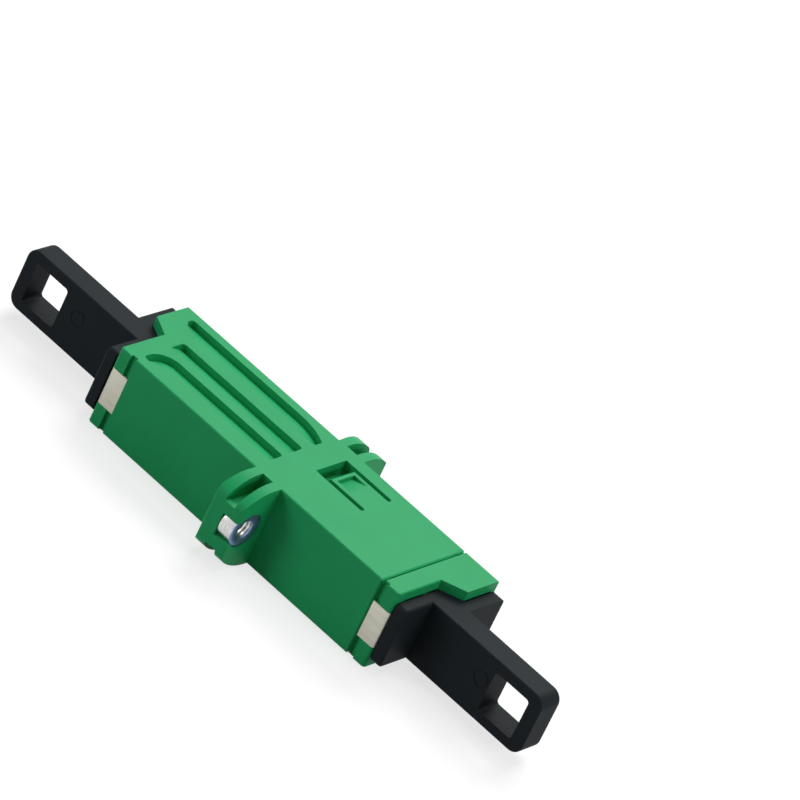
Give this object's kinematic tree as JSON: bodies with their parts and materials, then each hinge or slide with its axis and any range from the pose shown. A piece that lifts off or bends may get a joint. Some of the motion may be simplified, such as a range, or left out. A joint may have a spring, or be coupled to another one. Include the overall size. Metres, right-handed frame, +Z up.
{
  "type": "latching fibre adapter",
  "caption": "Fibre-optic coupling adapter with a stepped latching port at each end, leaf shutters, threaded inserts in side ears, and pull-out dust plugs.",
  "frame": {"origin": "middle of the body's length and width, on its flat underside", "axes": "+X along the fibre axis towards the port with the separate end frame, +Z up through the grooved top face, +Y towards the long side of the stepped mouths"},
  "size_m": [0.0732, 0.0222, 0.0093],
  "materials": {
    "green_plastic": "fine matte moulding",
    "black_plastic": "fine matte moulding",
    "pale_plastic": "smooth matte",
    "white_ceramic": "ground",
    "spring_steel": "rolled strip",
    "plated_metal": "plated and turned"
  },
  "bodies": {
    "adapter_body": {"housing": "green_plastic", "port_insert": "green_plastic", "left_sleeve_holder": "pale_plastic", "right_sleeve_holder": "pale_plastic", "alignment_sleeve": "white_ceramic", "near_threaded_insert": "plated_metal", "far_threaded_insert": "plated_metal", "left_leaf_clip": "spring_steel", "right_leaf_clip": "spring_steel"},
    "left_shutter": {"left_leaf_flap": "spring_steel"},
    "right_shutter": {"right_leaf_flap": "spring_steel"},
    "left_dust_plug": {"left_plug": "black_plastic"},
    "right_dust_plug": {"right_plug": "black_plastic"}
  },
  "joints": [
    {"name": "left_plug_pull", "type": "slide", "parent": "adapter_body", "child": "left_dust_plug", "axis": [-1, 0, 0], "range_m": [0, 0.016]},
    {"name": "right_plug_pull", "type": "slide", "parent": "adapter_body", "child": "right_dust_plug", "axis": [1, 0, 0], "range_m": [0, 0.016]},
    {"name": "left_leaf_swing", "type": "hinge", "parent": "adapter_body", "child": "left_shutter", "pos_m": [-0.0189, -0.00532, 0.00465], "axis": [0, 0, 1], "range_deg": [0, 49]},
    {"name": "right_leaf_swing", "type": "hinge", "parent": "adapter_body", "child": "right_shutter", "pos_m": [0.0189, -0.00532, 0.00465], "axis": [0, 0, -1], "range_deg": [0, 49]}
  ],
  "couplings": [
    {"joint": "left_leaf_swing", "follows": "left_plug_pull", "rad_per_m": 53},
    {"joint": "right_leaf_swing", "follows": "right_plug_pull", "rad_per_m": 53}
  ]
}
